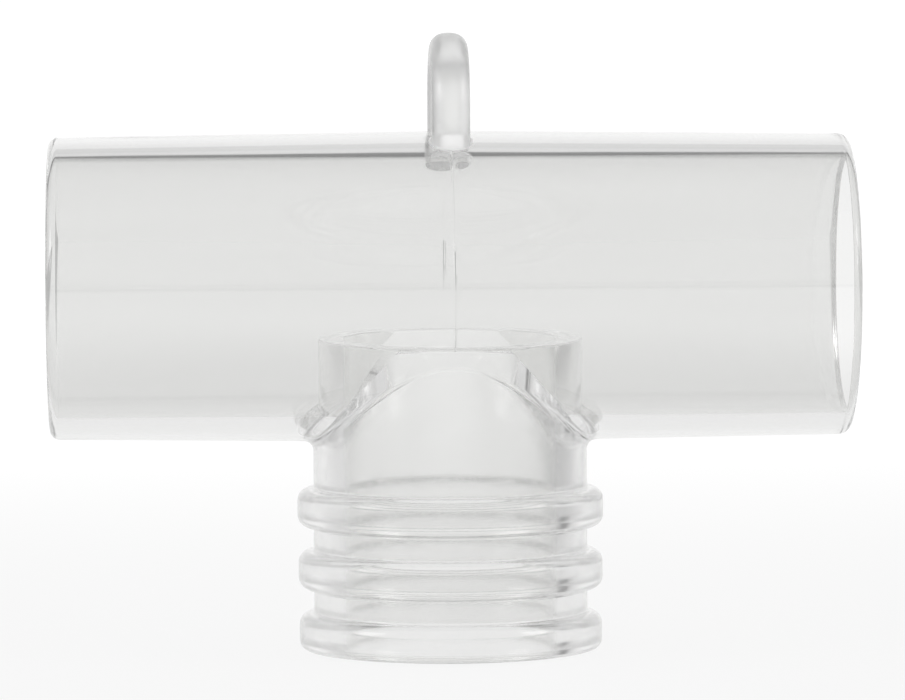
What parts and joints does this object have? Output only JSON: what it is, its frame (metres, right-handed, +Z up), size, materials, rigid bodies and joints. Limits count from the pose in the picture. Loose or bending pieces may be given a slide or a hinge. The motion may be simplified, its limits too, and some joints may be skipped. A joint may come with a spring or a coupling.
{
  "type": "ribbed tee connector",
  "caption": "Clear moulded tee connector: a straight tapered tube run, a short ribbed branch stub below its middle and a small hanging loop on top",
  "frame": {"origin": "centre of the branch's bottom rim, on the plane that the tee stands on", "axes": "+X along the run, +Y across it, the way the tee is symmetric front to back, +Z up from the branch to the hanging loop"},
  "size_m": [0.0582, 0.0228, 0.045],
  "materials": {
    "clear_run": "colourless transparent moulded plastic, polished",
    "clear_branch": "colourless transparent moulded plastic, polished",
    "clear_ribs": "colourless transparent moulded plastic, polished, rounded crowns",
    "clear_loop": "colourless transparent moulded plastic, slightly softer gloss"
  },
  "bodies": {
    "root": {"run_left_half": "clear_run", "run_right_half": "clear_run", "branch_tube": "clear_branch", "inner_collar": "clear_branch", "rib_lower": "clear_ribs", "rib_middle": "clear_ribs", "rib_upper": "clear_ribs", "hanging_loop": "clear_loop"}
  },
  "joints": []
}
